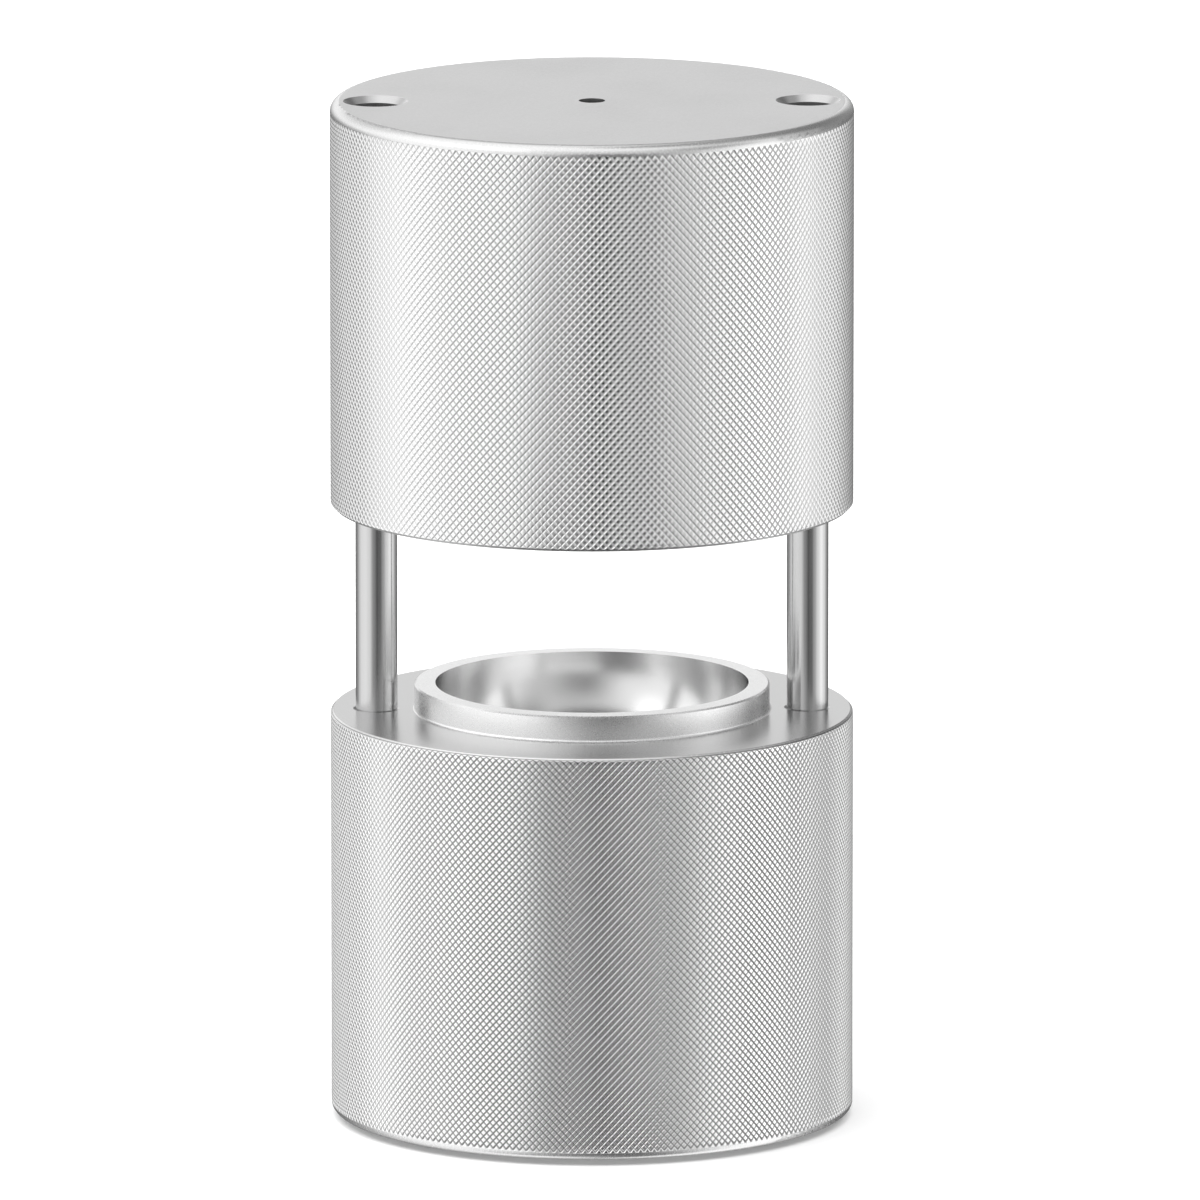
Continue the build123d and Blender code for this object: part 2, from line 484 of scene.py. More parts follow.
handling, given, result = start_group("handling", {"Patch Size": 18 * MM}, ["Smudge"])
tree = handling
patches = noise(tree, own_place(tree), given["Patch Size"], detail=4.0)
feed(tree, result["Smudge"], ramp_between(tree, patches, smudge_from, smudge_to))
print("handling has", len(tree.nodes), "nodes")

# %% [markdown]
# **Mould zones.** One block of metal has several finishes: blasted outside, polished in the ball,
# drilled in the bores. The group tells them apart by place. A point is in the ball if it is within
# a ball radius of the ball's centre, and in a bore if it is close to a rod's axis. A little slack
# on each limit takes in the facets of the surface.

# %% Group: mould zones
ball_slack = 0.04 * MM
bore_slack = 0.03 * MM
face_slack = 0.05 * MM
top_slack = 0.02 * MM

mould_zones, given, result = start_group(
    "mould_zones",
    {
        "Ball Centre": lower_ball_centre, "Bore Radius": bore_radius, "Bright Face": lower_face,
        "Collar Foot": lower_face,
    },
    ["In Ball", "In Bore", "In Cone", "On Bright Face", "On Rim", "On Collar"],
)
tree = mould_zones
place = own_place(tree)
split = add(tree, "ShaderNodeSeparateXYZ")
feed(tree, split.inputs[0], place)
x, y, z = split.outputs

centre = add(tree, "ShaderNodeCombineXYZ")
feed(tree, centre.inputs["Z"], given["Ball Centre"])
reach = add(tree, "ShaderNodeVectorMath", operation="DISTANCE")
feed(tree, reach.inputs[0], place)
feed(tree, reach.inputs[1], centre.outputs[0])
in_ball = calc(tree, "LESS_THAN", reach.outputs["Value"], ball_radius + ball_slack)
off_ball = calc(tree, "SUBTRACT", 1.0, in_ball)
feed(tree, result["In Ball"], in_ball)

across = calc(tree, "MULTIPLY", y, y)
sideways = calc(tree, "SUBTRACT", calc(tree, "ABSOLUTE", x), rod_offset)
from_rod = calc(tree, "SQRT", calc(tree, "MULTIPLY_ADD", sideways, sideways, across))
from_axis = calc(tree, "SQRT", calc(tree, "MULTIPLY_ADD", x, x, across))
bore_edge = calc(tree, "ADD", given["Bore Radius"], bore_slack)
in_bore = calc(tree, "LESS_THAN", from_rod, bore_edge)
in_vent = calc(tree, "LESS_THAN", from_axis, vent_radius + bore_slack)
feed(tree, result["In Bore"], calc(tree, "MAXIMUM", in_bore, in_vent))

off_face = calc(tree, "ABSOLUTE", calc(tree, "SUBTRACT", z, given["Bright Face"]))
at_face = calc(tree, "LESS_THAN", off_face, face_slack)
feed(tree, result["On Bright Face"], calc(tree, "MULTIPLY", at_face, off_ball))

below_top = calc(tree, "LESS_THAN", z, upper_high.z - top_slack)
near_bore = calc(tree, "LESS_THAN", from_rod, cone_radius + bore_slack)
beside_bore = calc(tree, "MULTIPLY", calc(tree, "SUBTRACT", near_bore, in_bore), below_top)
feed(tree, result["In Cone"], calc(tree, "MULTIPLY", beside_bore, calc(tree, "SUBTRACT", 1.0, at_face)))

past_flat = calc(tree, "GREATER_THAN", from_axis, mould_radius - top_rounding)
feed(tree, result["On Rim"], calc(tree, "MULTIPLY", past_flat, below_top))
above_foot = calc(tree, "GREATER_THAN", z, given["Collar Foot"])
feed(tree, result["On Collar"], calc(tree, "MULTIPLY", above_foot, off_ball))
print("mould zones have", len(tree.nodes), "nodes")

# %% [markdown]
# ## Finishes
# Every finish is one Principled shader. What is the same all over is set on the shader itself,
# and only what changes over the surface is linked to it. A pair of roughnesses or greys is where
# the effect that mixes them is at 0, then where it is at 1.


# %% Finish helpers
def start_finish(name, metallic, **even):
    """A new material with one Principled shader, and the values that are even all over."""
    material = bpy.data.materials.new(name)
    material.use_nodes = True
    tree = material.node_tree
    shader = tree.nodes["Principled BSDF"]
    shader.inputs["Metallic"].default_value = metallic
    for label, value in even.items():
        shader.inputs[label.replace("_", " ")].default_value = value
    return material, tree, shader.inputs


def raise_surface(tree, height, depth, under=None):
    """A bump of that depth in metres, on top of another one if given."""
    node = add(tree, "ShaderNodeBump")
    node.inputs["Distance"].default_value = depth
    feed(tree, node.inputs["Height"], height)
    if under is not None:
        feed(tree, node.inputs["Normal"], under)
    return node.outputs["Normal"]


print("finish helpers: start_finish and raise_surface")

# %% [markdown]
# ** Mould aluminium.** The faces are bead blasted and clear anodised, which gives a soft silvery
# grey. The ball is polished, because whatever is pressed copies its surface, and the bores keep
# the rings of the reamer. The faces where the halves meet are fine turned and left bright.
# Some greys are painted light and shade: the collar is painted lighter as a painted highlight,
# the meeting faces are painted darker as painted shade in the gap between the halves, and the
# countersinks, the bores and the vent are painted darker as painted shade in the holes.

# %% Finish: mould aluminium
blasted_roughness = (0.36, 0.48)
smudged_roughness = 0.56
smudge_share = 0.25
speckled_zones = {"On Rim": (0.20, 0.28), "On Collar": (0.26, 0.32)}  # roughness
machined_roughness = (0.14, 0.22)
even_zones = {"On Bright Face": 0.25, "In Bore": 0.34}  # roughness
blasted_greys = (0.80, 0.88)
machined_greys = (0.84, 0.88)
# painted light and shade: a painted highlight on the collar, painted shade on the meeting faces, in the
# countersinks and in the bores
painted_light_zone_greys = {"On Collar": 0.97, "On Bright Face": 0.58, "In Cone": 0.68, "In Bore": 0.45}
dent_depth = 0.012 * MM
ring_depth = 0.0006 * MM


def mould_finish(name, ball_centre, bore_reach, bright_face, collar_foot):
    """The finish of one half, told where its ball, its bores and its bright face are."""
    material, tree, shader = start_finish(name, 1.0)
    zones = place_group(
        tree, mould_zones,
        Ball_Centre=ball_centre, Bore_Radius=bore_reach, Bright_Face=bright_face,
        Collar_Foot=collar_foot,
    )
    grain = place_group(tree, blast_grain, Grain_Size=0.22 * MM)
    rings = place_group(tree, tool_rings, Feed=0.12 * MM)
    marks = place_group(tree, handling, Patch_Size=16 * MM)

    machined = calc(tree, "MAXIMUM", zones["In Ball"], zones["On Bright Face"])
    for zone in ("In Bore", "In Cone"):
        machined = calc(tree, "MAXIMUM", machined, zones[zone])
    blasted = calc(tree, "SUBTRACT", 1.0, machined)

    shine = blend(tree, grain["Speckle"], *blasted_roughness)
    shine = blend(tree, calc(tree, "MULTIPLY", marks["Smudge"], smudge_share), shine, smudged_roughness)
    for zone, pair in speckled_zones.items():
        shine = blend(tree, zones[zone], shine, blend(tree, grain["Speckle"], *pair))
    shine = blend(tree, machined, shine, blend(tree, rings["Unevenness"], *machined_roughness))
    for zone, roughness in even_zones.items():
        shine = blend(tree, zones[zone], shine, roughness)
    feed(tree, shader["Roughness"], shine)

    blasted_tone = greys(tree, grain["Speckle"], *blasted_greys)
    machined_tone = greys(tree, rings["Unevenness"], *machined_greys)
    tone = blend_colours(tree, machined, blasted_tone, machined_tone)
    # painted light and shade by zone: the collar lighter, the meeting faces, countersinks and bores
    # darker
    for zone, level in painted_light_zone_greys.items():
        tone = blend_colours(tree, zones[zone], tone, grey(level))
    feed(tree, shader["Base Color"], tone)

    dents = calc(tree, "MULTIPLY", grain["Height"], blasted)
    turned = calc(tree, "MULTIPLY", rings["Face Height"], machined)
    normal = raise_surface(tree, dents, dent_depth)
    feed(tree, shader["Normal"], raise_surface(tree, turned, ring_depth, normal))
    return material


no_collar = upper_high.z + 1 * MM  # above everything, as the upper half has none
upper_finish = mould_finish("upper_aluminium", upper_ball_centre, bore_radius, upper_low.z, no_collar)
lower_finish = mould_finish("lower_aluminium", lower_ball_centre, socket_reach, lower_face, lower_face)
print("mould finishes made")

# %% [markdown]
# ** Knurl.** The wheels press the metal up into crests and leave it bright on top. Dust and oil
# stay in the grooves, and the grooves are also painted darker as painted shade. A painted map could
# tell a crest from a groove, but the mesh has their real height already, so a point's distance from
# the axis does it.

# %% Finish: knurl
knurl_depth = {"upper": 0.15 * MM, "lower": 0.19 * MM}
# the grooves' grey is partly dust and oil, partly painted shade
knurl_groove_shade_and_crest_greys = {"upper": (0.68, 0.94), "lower": (0.38, 0.96)}  # in the grooves, on the crests
knurl_crest = mould_radius
worn_height = 0.06 * MM  # how far down a crest is burnished
speckle_contrast = 0.04
groove_roughness = 0.20
crest_roughness = (0.11, 0.15)
knurl_grain_depth = 0.0012 * MM


def knurl_finish(half):
    """Bright burnished crests over grooves darkened by dust and painted shade."""
    material, tree, shader = start_finish(half + "_knurl", 1.0)
    level = add(tree, "ShaderNodeVectorMath", operation="MULTIPLY")
    feed(tree, level.inputs[0], own_place(tree))
    level.inputs[1].default_value = (1, 1, 0)
    from_axis = add(tree, "ShaderNodeVectorMath", operation="LENGTH")
    feed(tree, from_axis.inputs[0], level.outputs[0])
    root = knurl_crest - knurl_depth[half]
    crest = ramp_between(tree, from_axis.outputs["Value"], root, knurl_crest - worn_height)
    marks = place_group(tree, handling, Patch_Size=14 * MM)
    grain = place_group(tree, blast_grain, Grain_Size=0.12 * MM)
    # the groove grey is partly dust and oil, partly painted shade in the grooves
    groove_dust_and_shade_tone, crest_tone = [
        greys(tree, grain["Speckle"], light - speckle_contrast, light) for light in knurl_groove_shade_and_crest_greys[half]
    ]
    feed(tree, shader["Base Color"], blend_colours(tree, crest, groove_dust_and_shade_tone, crest_tone))
    worn = blend(tree, marks["Smudge"], *crest_roughness)
    feed(tree, shader["Roughness"], blend(tree, crest, groove_roughness, worn))
    feed(tree, shader["Normal"], raise_surface(tree, grain["Height"], knurl_grain_depth))
    return material


knurled = {half: knurl_finish(half) for half in ("upper", "lower")}
print("knurl finishes made, grooves up to", max(knurl_depth.values()) / MM, "mm deep")

# %% [markdown]
# **Guide rods.** Centreless ground stainless bar. The wheel leaves hair-fine rings round it, so
# its reflection is sharp across and smeared along. Rings that fine would only flicker as a mesh,
# so the shader's anisotropy smears the reflection: its tangent runs round the rod, and a quarter
# turn lays the smear along it.

# %% Finish: rod steel
rod_finish, tree, shader = start_finish(
    "ground_steel", 1.0, Anisotropic=0.95, Anisotropic_Rotation=0.25
)
rings = place_group(tree, tool_rings, Feed=0.05 * MM)
marks = place_group(tree, handling, Patch_Size=9 * MM)
feed(tree, shader["Base Color"], greys(tree, rings["Wall Height"], 0.61, 0.67))
feed(tree, shader["Roughness"], blend(tree, marks["Smudge"], 0.17, 0.19))
feed(tree, shader["Tangent"], add(tree, "ShaderNodeTangent", direction_type="RADIAL").outputs[0])
feed(tree, shader["Normal"], raise_surface(tree, rings["Wall Height"], ring_depth))
print("rod finish made")

# %% [markdown]
# **Screws and washers.** Plain stainless, barrelled to take the burrs off. They show only from
# beneath, so two of the shared effects are enough: a faint grain for the tumbled skin, and the
# rings' unevenness for how sharp the reflection is.

# %% Finish: fastener steel
fastener_finish, tree, shader = start_finish("fastener_steel", 1.0)
grain = place_group(tree, blast_grain, Grain_Size=0.3 * MM)
rings = place_group(tree, tool_rings, Feed=0.2 * MM)
feed(tree, shader["Base Color"], greys(tree, grain["Speckle"], 0.50, 0.60))
feed(tree, shader["Roughness"], blend(tree, rings["Unevenness"], 0.25, 0.38))
feed(tree, shader["Normal"], raise_surface(tree, grain["Height"], 0.003 * MM))
print("fastener finish made")

# %% [markdown]
# **Bushes.** A filled bearing polymer, dull and nearly black, with a faint moulded texture. It is
# no metal, so its shine comes from its refractive index. The grain gives both the texture and a
# slight unevenness in the black.

# %% Finish: bush polymer
bush_finish, tree, shader = start_finish("bearing_polymer", 0.0, IOR=1.5)
grain = place_group(tree, blast_grain, Grain_Size=0.25 * MM)
feed(tree, shader["Base Color"], greys(tree, grain["Speckle"], 0.030, 0.055))
feed(tree, shader["Roughness"], blend(tree, grain["Speckle"], 0.45, 0.60))
feed(tree, shader["Normal"], raise_surface(tree, grain["Height"], 0.004 * MM))
print("bush finish made")

# %% [markdown]
# **Feet.** Black moulded rubber. It picks up pale dust from the table, in cloudy patches like
# those that handling leaves, so that effect is used again, here for the colour.

# %% Finish: foot rubber
dust_share = 0.5

foot_finish, tree, shader = start_finish("foot_rubber", 0.0, IOR=1.45)
grain = place_group(tree, blast_grain, Grain_Size=0.35 * MM)
marks = place_group(tree, handling, Patch_Size=4 * MM)
dusty = calc(tree, "MULTIPLY", marks["Smudge"], dust_share)
feed(tree, shader["Base Color"], greys(tree, dusty, 0.018, 0.060))
feed(tree, shader["Roughness"], blend(tree, grain["Speckle"], 0.70, 0.88))
feed(tree, shader["Normal"], raise_surface(tree, grain["Height"], 0.010 * MM))
print("foot finish made")

# %% [markdown]
# **Finishes on the solids.** A solid of the frame keeps its shape and only changes its material.
# Its name says what it is made of.


# %% Give every solid its finish
def finish_for(node):
    """The material of a solid of the frame, by its name."""
    if node == "upper_mould":
        return upper_finish
    if node == "lower_mould":
        return lower_finish
    if "bush" in node:
        return bush_finish
    if "foot" in node:
        return foot_finish
    return rod_finish if "guide_rod" in node else fastener_finish


for node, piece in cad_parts.items():
    piece.data.materials.clear()
    piece.data.materials.append(finish_for(node))
print(len(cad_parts), "solids have their finish")

# %% [markdown]
# ## Knurl
# Two hardened wheels roll a grid of crossing grooves into each half. The wheels don't go in all
# the way, so a low cushion of metal is left on top of each diamond. It could be a bump in the
# shader, but a bump has no outline and can't throw a sharp glint, so each diamond is real: a
# crowned top and four sloping walls. Grooves lie on the lines of a slanted grid, so rows of
# diamonds are half a step apart, and a diamond's corners are where grooves cross.
#
# Each half has two bands, one above the other, that meet in the bottom of a groove. A band is a
# closed sleeve: diamonds outside, and inside a plain wall just under the metal's surface.

# %% One band of diamonds
hidden_radius = band_radius - 0.05 * MM  # the sleeve's inner wall
roll_error = 0.006 * MM  # how unevenly the crests come up


class Band:
    """The points and faces of a band of diamonds. Steps go round it, and rows go up."""

    def __init__(self, size, seed):
        self.around = size["around"]
        self.rows = size["rows"]
        self.low = size["low"]
        self.high = size["high"]
        self.top_share = size["top_share"]
        self.crown = size["crown"]
        self.root = knurl_crest - size["depth"]
        self.lean = {0: size["leans"][0], self.rows: size["leans"][1]}
        self.chance = random.Random(seed)
        self.points = []
        self.places = []
        self.tops = []
        self.walls = []
        self.inside = []
        self.crossings = {}

    def point(self, step, row, radius):
        """A new point. On an end row it leans, so that the end is bevelled."""
        angle = 2 * math.pi * step / self.around
        height = self.low + (self.high - self.low) * row / self.rows
        height += self.lean.get(row, 0) * max(radius - band_radius, 0)
        self.points.append((radius * math.sin(angle), -radius * math.cos(angle), height))
        self.places.append((step, row))
        return len(self.points) - 1

    def crossing(self, row, index):
        """The point where two grooves cross."""
        if (row, index) not in self.crossings:
            step = index + (row % 2) / 2
            self.crossings[row, index] = self.point(step, row, self.root)
        return self.crossings[row, index]

    def crest(self, step, row):
        """A corner of a diamond's top. Each comes up a little differently."""
        return self.point(step, row, knurl_crest - self.crown - self.chance.random() * roll_error)

    def diamond(self, row, index):
        """One diamond, or half of one on an end row. Returns its left and right corners."""
        shift = (row + 1) % 2
        middle = index + shift / 2
        west = self.crossing(row, index - 1 + shift)
        east = self.crossing(row, index + shift)
        left = self.crest(middle - self.top_share / 2, row)
        right = self.crest(middle + self.top_share / 2, row)
        rim = [left, right]
        if row < self.rows:
            north = self.crossing(row + 1, index)
            top = self.crest(middle, row + self.top_share)
            rim.append(top)
            self.walls += [(left, top, north, west), (top, right, east, north)]
        if row > 0:
            south = self.crossing(row - 1, index)
            bottom = self.crest(middle, row - self.top_share)
            rim.insert(1, bottom)
            self.walls += [(bottom, left, west, south), (right, bottom, south, east)]
        if len(rim) == 4:
            peak = self.point(middle, row, knurl_crest)
            self.tops += [(peak, rim[i - 1], rim[i]) for i in range(4)]
        else:
            self.tops.append(rim)
        return left, right


print("crests come up within", roll_error / MM, "mm of each other")

# %% [markdown]
# A band that ends at a free edge is cut back to the edge's slope, and one that ends at a plain
# land runs out into the land's shoulder. A ring of quads closes each end, and another closes the
# zigzag where two bands meet. Where the end's three corners a diamond meet the zigzag's two, five
# triangles a diamond make up the inner wall.


# %% Close a band into a sleeve
def copy_ring(band, ring, row, radius):
    """The same ring of points at another radius."""
    return [band.point(band.places[p][0], row, radius) for p in ring]


def join_rings(faces, first, second):
    """Quads between two rings with the same number of points."""
    for i in range(len(first) - 1):
        faces.append((first[i], first[i + 1], second[i + 1], second[i]))


def end_ring(band, corners, row):
    """The outline of an end row: a crossing, then both corners of each half diamond."""
    ring = []
    for index, (left, right) in enumerate(corners):
        ring += [band.crossing(row, index), left, right]
    return ring + [band.crossing(row, band.around)]


def zigzag(band, row, radius=None):
    """The groove's bottom between the diamonds of this row and the next, or its hidden copy."""
    ring = []
    for half_step in range(2 * band.around + 1):
        level = row + (half_step + row) % 2
        if radius is None:
            ring.append(band.crossing(level, half_step // 2))
        else:
            ring.append(band.point(half_step / 2, level, radius))
    return ring


def close_sleeve(band, corners, end_row, seam_row):
    """Joins the diamonds' two open rims to an inner wall."""
    outer = end_ring(band, corners, end_row)
    bevel = copy_ring(band, outer, end_row, band_radius)
    inner = copy_ring(band, outer, end_row, hidden_radius)
    join_rings(band.walls, outer, bevel)
    join_rings(band.walls, bevel, inner)
    hidden_seam = zigzag(band, seam_row, hidden_radius)
    join_rings(band.walls, zigzag(band, seam_row), hidden_seam)
    for i in range(band.around):
        a, b, c, d = inner[3 * i:3 * i + 4]
        e, f, g = hidden_seam[2 * i:2 * i + 3]
        band.inside += [(a, b, e), (e, b, f), (b, c, f), (c, g, f), (c, d, g)]


print("sleeve helpers: copy_ring, join_rings, end_ring, zigzag and close_sleeve")

# %% [markdown]
# The band is unrolled for its texture map into four strips, one above the other, so that the map
# is about as wide as it is high. The inner wall gets a narrow strip of its own at the bottom.

# %% Unroll a band
strips = 4
wall_strip = 0.04  # of the map's height, for the inner wall
wall_fill = 0.95  # of that strip's height, so that it stays clear of the next


def unroll(band, face, first_row, last_row, is_inside):
    """Where a face's corners lie on the map."""
    quarter = band.around / strips
    strip = min(int(max(min(band.places[p][0] for p in face), 0) / quarter), strips - 1)
    spots = []
    for p in face:
        step, row = band.places[p]
        across = (step - strip * quarter + 1) / (quarter + 2)
        share = (row - first_row + 1) / (last_row - first_row + 2)
        level = (strip + share) / strips
        if is_inside:
            spots.append((across, wall_strip * wall_fill * level))
        else:
            spots.append((across, wall_strip + (1 - wall_strip) * level))
    return spots


print("a band is unrolled into", strips, "strips")

# %% [markdown]
# The rows are laid one after another, the sleeve is closed, and points that fall together are
# welded. The crowned tops are smooth, and every edge of a wall is sharp. No edge may be left
# open, so the open ones are counted.

# %% Build a band
band_weld = 0.0002 * MM


def make_band(name, body, band, first_row, last_row, end_row, seam_row):
    """Builds a band as a closed sleeve that rides on a body."""
    for row in range(first_row, last_row + 1):
        corners = [band.diamond(row, index) for index in range(band.around)]
        if row == end_row:
            end_corners = corners
    close_sleeve(band, end_corners, end_row, seam_row)
    mesh = bpy.data.meshes.new(name)
    outside = len(band.tops) + len(band.walls)
    faces = band.tops + band.walls + band.inside
    mesh.from_pydata(band.points, [], faces)
    mesh.polygons.foreach_set("use_smooth", [i < len(band.tops) for i in range(len(faces))])
    unrolled = mesh.uv_layers.new(name="OFBake")
    spots = []
    for number, face in enumerate(faces):
        spots += unroll(band, face, first_row, last_row, number >= outside)
    unrolled.data.foreach_set("uv", [value for spot in spots for value in spot])
    work = bmesh.new()
    work.from_mesh(mesh)
    bmesh.ops.remove_doubles(work, verts=work.verts, dist=band_weld)
    bmesh.ops.recalc_face_normals(work, faces=work.faces)
    open_edges = sum(1 for edge in work.edges if len(edge.link_faces) != 2)
    for edge in work.edges:
        edge.smooth = all(face.smooth for face in edge.link_faces)
    work.to_mesh(mesh)
    work.free()
    mesh.materials.append(knurled[name.split("_")[0]])
    piece = bpy.data.objects.new(name, mesh)
    bpy.context.scene.collection.objects.link(piece)
    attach(piece, body)
    triangles = sum(len(face.vertices) - 2 for face in mesh.polygons)
    print(name, triangles, "triangles,", open_edges, "open edges")


print("points nearer than", band_weld / MM, "mm are welded")

# %% [markdown]
# The two halves were rolled with different numbers of diamonds round them, because a wheel only
# has to match the circumference. The numbers round and up the band are counted, and the step
# follows from them. A shoulder at 45 degrees leads from the band out to each plain land, so it
# is as high as the band is deep.

# %% The knurl of both halves
shoulder = knurl_relief
first_seed = 7
halves = {
    "upper": {
        "body": "upper_half",
        "around": 216,
        "rows": 96,
        "low": upper_low.z + edge_break,
        "high": upper_high.z - top_rounding - shoulder,
        "leans": (1, 1),
        "depth": knurl_depth["upper"],
        "top_share": 0.62,
        "crown": 0.036 * MM,
    },
    "lower": {
        "body": "lower_half",
        "around": 236,
        "rows": 108,
        "low": lower_low.z + bottom_rounding + shoulder,
        "high": lower_face - edge_break,
        "leans": (-1, -1),
        "depth": knurl_depth["lower"],
        "top_share": 0.6,
        "crown": 0.03 * MM,
    },
}
for half, size in halves.items():
    middle_row = size["rows"] // 2
    for level, first, last, end in (
        ("bottom", 0, middle_row - 1, 0),
        ("top", middle_row, size["rows"], size["rows"]),
    ):
        band = Band(size, seed=first + first_seed)
        make_band(f"{half}_knurl_{level}_band", size["body"], band, first, last, end, middle_row - 1)
    pitch = 2 * math.pi * mould_radius / size["around"]
    print(half, "knurl repeats every", round(pitch / MM, 3), "mm round")

# %% [markdown]
# ## Turned pieces
# Screws, washers and feet are round, so each is a stack of rings with the same number of points,
# skinned from one end to the other. A Screw modifier could spin their profiles too, but flutes, a
# hexagon and a thread change on the way round, and rings can follow them. The frame's plain solid
# gives the place and the outer sizes.

# %% Skin of rings
ring_steps = 72


def ring(middle, z, radius):
    """Points round a middle (x, y). The radius is a number, or a function of the step."""
    points = []
    for step in range(ring_steps):
        angle = 2 * math.pi * step / ring_steps
        reach = radius(step) if callable(radius) else radius
        points.append((middle[0] + reach * math.cos(angle), middle[1] + reach * math.sin(angle), z))
    return points


def skin(rings, closed):
    """Points and quads between rings. Closed joins the last to the first, else both get a lid."""
    points = [point for one in rings for point in one]
    faces = []
    pairs = [(i, i + 1) for i in range(len(rings) - 1)]
    if closed:
        pairs.append((len(rings) - 1, 0))
    for first, second in pairs:
        for step in range(ring_steps):
            after = (step + 1) % ring_steps
            low, high = first * ring_steps, second * ring_steps
            faces.append((low + step, low + after, high + after, high + step))
    if not closed:
        faces.append(list(range(ring_steps)))
        last = (len(rings) - 1) * ring_steps
        faces.append(list(range(last, last + ring_steps)))
    return points, faces


print("rings of", ring_steps, "points")

# %% [markdown]
# A turned piece takes the place of its plain solid, which stays in the frame but isn't shown.
# Edges of less than 25 degrees are smooth, and the others stay crisp.

# %% Take a solid's place
turned_weld = 0.0005 * MM
smooth_below = math.radians(25)


def take_place(node, points, faces, finish, body):
    """Makes a piece of these points and faces that is shown instead of a solid."""
    mesh = bpy.data.meshes.new(node + "_detailed")
    mesh.from_pydata(points, [], faces)
    work = bmesh.new()
    work.from_mesh(mesh)
    bmesh.ops.remove_doubles(work, verts=work.verts, dist=turned_weld)
    bmesh.ops.dissolve_degenerate(work, edges=work.edges, dist=turned_weld)
    bmesh.ops.recalc_face_normals(work, faces=work.faces)
    open_edges = sum(1 for edge in work.edges if len(edge.link_faces) != 2)
    for face in work.faces:
        face.smooth = True
    for edge in work.edges:
        edge.smooth = edge.calc_face_angle(0) < smooth_below
    work.to_mesh(mesh)
    work.free()
    mesh.materials.append(finish)
    piece = bpy.data.objects.new(node + "_detailed", mesh)
    bpy.context.scene.collection.objects.link(piece)
    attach(piece, body)
    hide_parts(node)
    triangles = sum(len(face.vertices) - 2 for face in mesh.polygons)
    print(node, triangles, "triangles,", open_edges, "open edges")


def place_of(node):
    """A round node's middle from above, its lowest and highest level, and its outer radius."""
    low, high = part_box(node)
    return ((low.x + high.x) / 2, (low.y + high.y) / 2), low.z, high.z, (high.x - low.x) / 2


print("pieces are welded within", turned_weld / MM, "mm")

# %% [markdown]
# **Thread.** M5, with its real pitch. It is a skin of slanted rows: going once round, each row
# climbs one pitch and meets the row four above it. Near both ends the crests fade into the core.

# %% Thread
thread_radius = 2.5 * MM
thread_pitch = 0.8 * MM
thread_depth = 0.49 * MM
thread_core = thread_radius - thread_depth
thread_fade = 0.6 * MM
thread_profile = ((0.0, 1), (0.125, 1), (0.44, 0), (0.69, 0))  # share of the pitch, crest or core


def thread_rows(middle, low, high):
    """The slanted rows of a thread between two levels, from below to above."""
    turns = int((high - low) / thread_pitch) + 2
    rows = []
    for turn in range(-1, turns):
        for share, crest in thread_profile:
            row = []
            for step in range(ring_steps + 1):
                angle = 2 * math.pi * step / ring_steps
                z = low + thread_pitch * (turn + share + step / ring_steps)
                z = min(max(z, low), high)
                fade = min(z - low, high - z, thread_fade) / thread_fade
                reach = thread_core + thread_depth * crest * fade
                x = middle[0] + reach * math.cos(angle)
                row.append((x, middle[1] + reach * math.sin(angle), z))
            rows.append(row)
    return rows


print("thread", 2 * thread_radius / MM, "by", thread_pitch / MM, "mm")

# %% [markdown]
# **Screw head.** Head down, as seen from beneath the press: a fluted side to grip it by, rounded
# edges, and a hexagon socket with the cone of the drill at its end.

# %% Screw head
head_radius = 4.25 * MM
head_height = 5 * MM
flute_depth = 0.12 * MM
flute_from = 0.6 * MM
flute_to = 0.3 * MM
head_edge = ((0.0, 0.6 * MM), (0.15 * MM, 0.3 * MM), (0.45 * MM, flute_depth))  # up, in
seat_edge = 0.4 * MM
socket_flats = 4 * MM
socket_depth = 2.5 * MM
socket_mouth = 0.2 * MM
mouth_flare = 1.22
drill_cone = 0.7 * MM
drill_point = 0.02 * MM


def fluted(step):
    """The head's side: a groove at every second step."""
    return head_radius - flute_depth * (step % 2)


def hexagon(step):
    """The socket's outline."""
    angle = 2 * math.pi * step / ring_steps
    to_flat = (angle + math.pi / 6) % (math.pi / 3) - math.pi / 6
    return socket_flats / 2 / math.cos(to_flat)


def head_rings(middle, low):
    """From the socket's end, out over the head and back in to the thread's core."""
    seat = low + head_height
    return [
        ring(middle, low + socket_depth + drill_cone, drill_point),
        ring(middle, low + socket_depth, hexagon),
        ring(middle, low + socket_mouth, hexagon),
        ring(middle, low, socket_flats / 2 * mouth_flare),
        *(ring(middle, low + up, head_radius - inward) for up, inward in head_edge),
        ring(middle, low + flute_from, fluted),
        ring(middle, seat - flute_to, fluted),
        ring(middle, seat, head_radius - seat_edge),
        ring(middle, seat, thread_core),
    ]


print("screw head", 2 * head_radius / MM, "mm across,", head_height / MM, "mm high")

# %% [markdown]
# **Screws.** The head's skin is left open where the thread goes on. Rows that would run past an
# end of the thread fall together on the core there and are welded. A chamfered tip closes it.

# %% Screws
tip_chamfer = 0.4 * MM


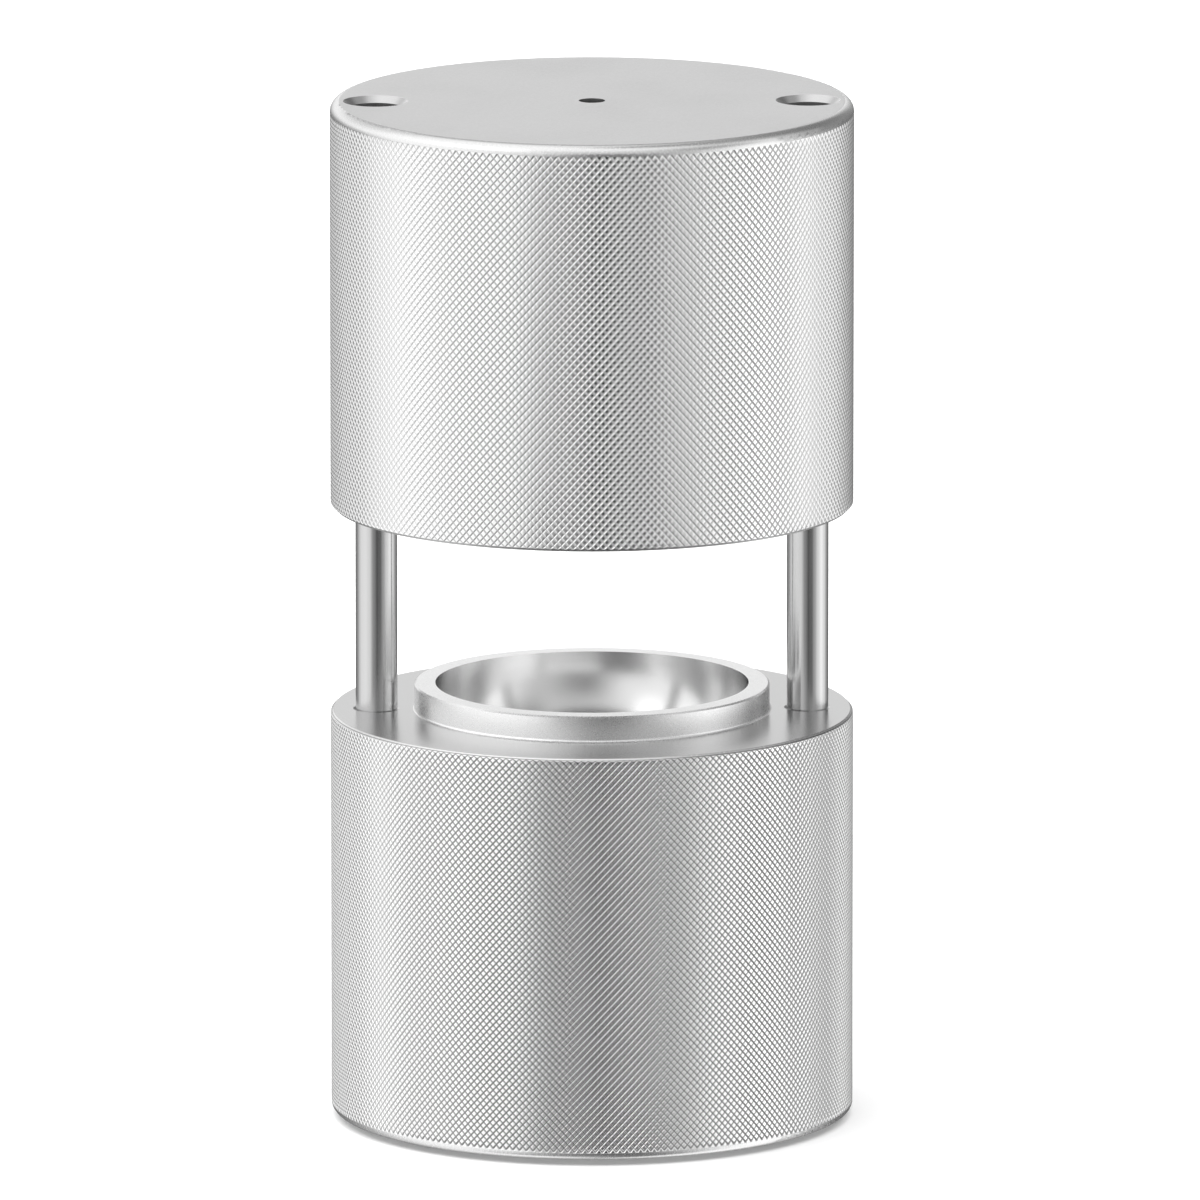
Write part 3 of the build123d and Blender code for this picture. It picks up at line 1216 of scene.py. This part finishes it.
def screw(node):
    """A detailed socket-head screw in the place of a plain one."""
    middle, low, high, _ = place_of(node)
    tip = high - tip_chamfer
    rings = head_rings(middle, low)
    points, faces = skin(rings, closed=False)
    del faces[-1]
    rows = thread_rows(middle, low + head_height, tip)
    start = len(points)
    row_length = ring_steps + 1
    for row in rows:
        points += row
    for row in range(len(rows) - 1):
        for step in range(ring_steps):
            a = start + row * row_length + step
            faces.append((a, a + 1, a + row_length + 1, a + row_length))
    base = len(points)
    points += ring(middle, tip, thread_core) + ring(middle, high, thread_core - tip_chamfer)
    for step in range(ring_steps):
        after = (step + 1) % ring_steps
        faces.append((base + step, base + after, base + ring_steps + after, base + ring_steps + step))
    faces.append(list(range(base + ring_steps, base + 2 * ring_steps)))
    take_place(node, points, faces, fastener_finish, "lower_half")


for side in ("left", "right"):
    screw(side + "_rod_screw")

# %% [markdown]
# **Washers and feet.** The washers are stamped, so their edges are rolled over. The feet are
# moulded with grip rings in the tread, and they still stand on the same flat.

# %% Washers and feet
washer_bore = 2.65 * MM
washer_edge = 0.2 * MM
foot_edge = 0.3 * MM
tread_rounding = 0.6 * MM
grip_rings = (4.3 * MM, 3.1 * MM, 1.9 * MM)
grip_half_width = 0.25 * MM
grip_floor_share = 0.6
grip_depth = 0.35 * MM


def washer(node):
    """A stamped washer with rolled edges."""
    middle, low, high, outer = place_of(node)
    profile = (
        (low, washer_bore + washer_edge), (low, outer - washer_edge), (low + washer_edge, outer),
        (high - washer_edge, outer), (high, outer - washer_edge), (high, washer_bore + washer_edge),
        (high - washer_edge, washer_bore), (low + washer_edge, washer_bore),
    )
    points, faces = skin([ring(middle, z, reach) for z, reach in profile], closed=True)
    take_place(node, points, faces, fastener_finish, "lower_half")


def foot(node):
    """A moulded foot with grip rings in its tread."""
    middle, low, high, outer = place_of(node)
    halfway = 0.3 * tread_rounding  # how far the middle of the rounding is in from its corner
    grip_floor = grip_floor_share * grip_half_width
    profile = [(high, outer - foot_edge), (high - foot_edge, outer), (low + tread_rounding, outer)]
    profile += [(low + halfway, outer - halfway), (low, outer - tread_rounding)]
    for reach in grip_rings:
        profile += [
            (low, reach + grip_half_width), (low + grip_depth, reach + grip_floor),
            (low + grip_depth, reach - grip_floor), (low, reach - grip_half_width),
        ]
    points, faces = skin([ring(middle, z, reach) for z, reach in profile], closed=False)
    take_place(node, points, faces, foot_finish, "lower_half")


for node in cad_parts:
    if "washer" in node:
        washer(node)
    if "foot" in node:
        foot(node)
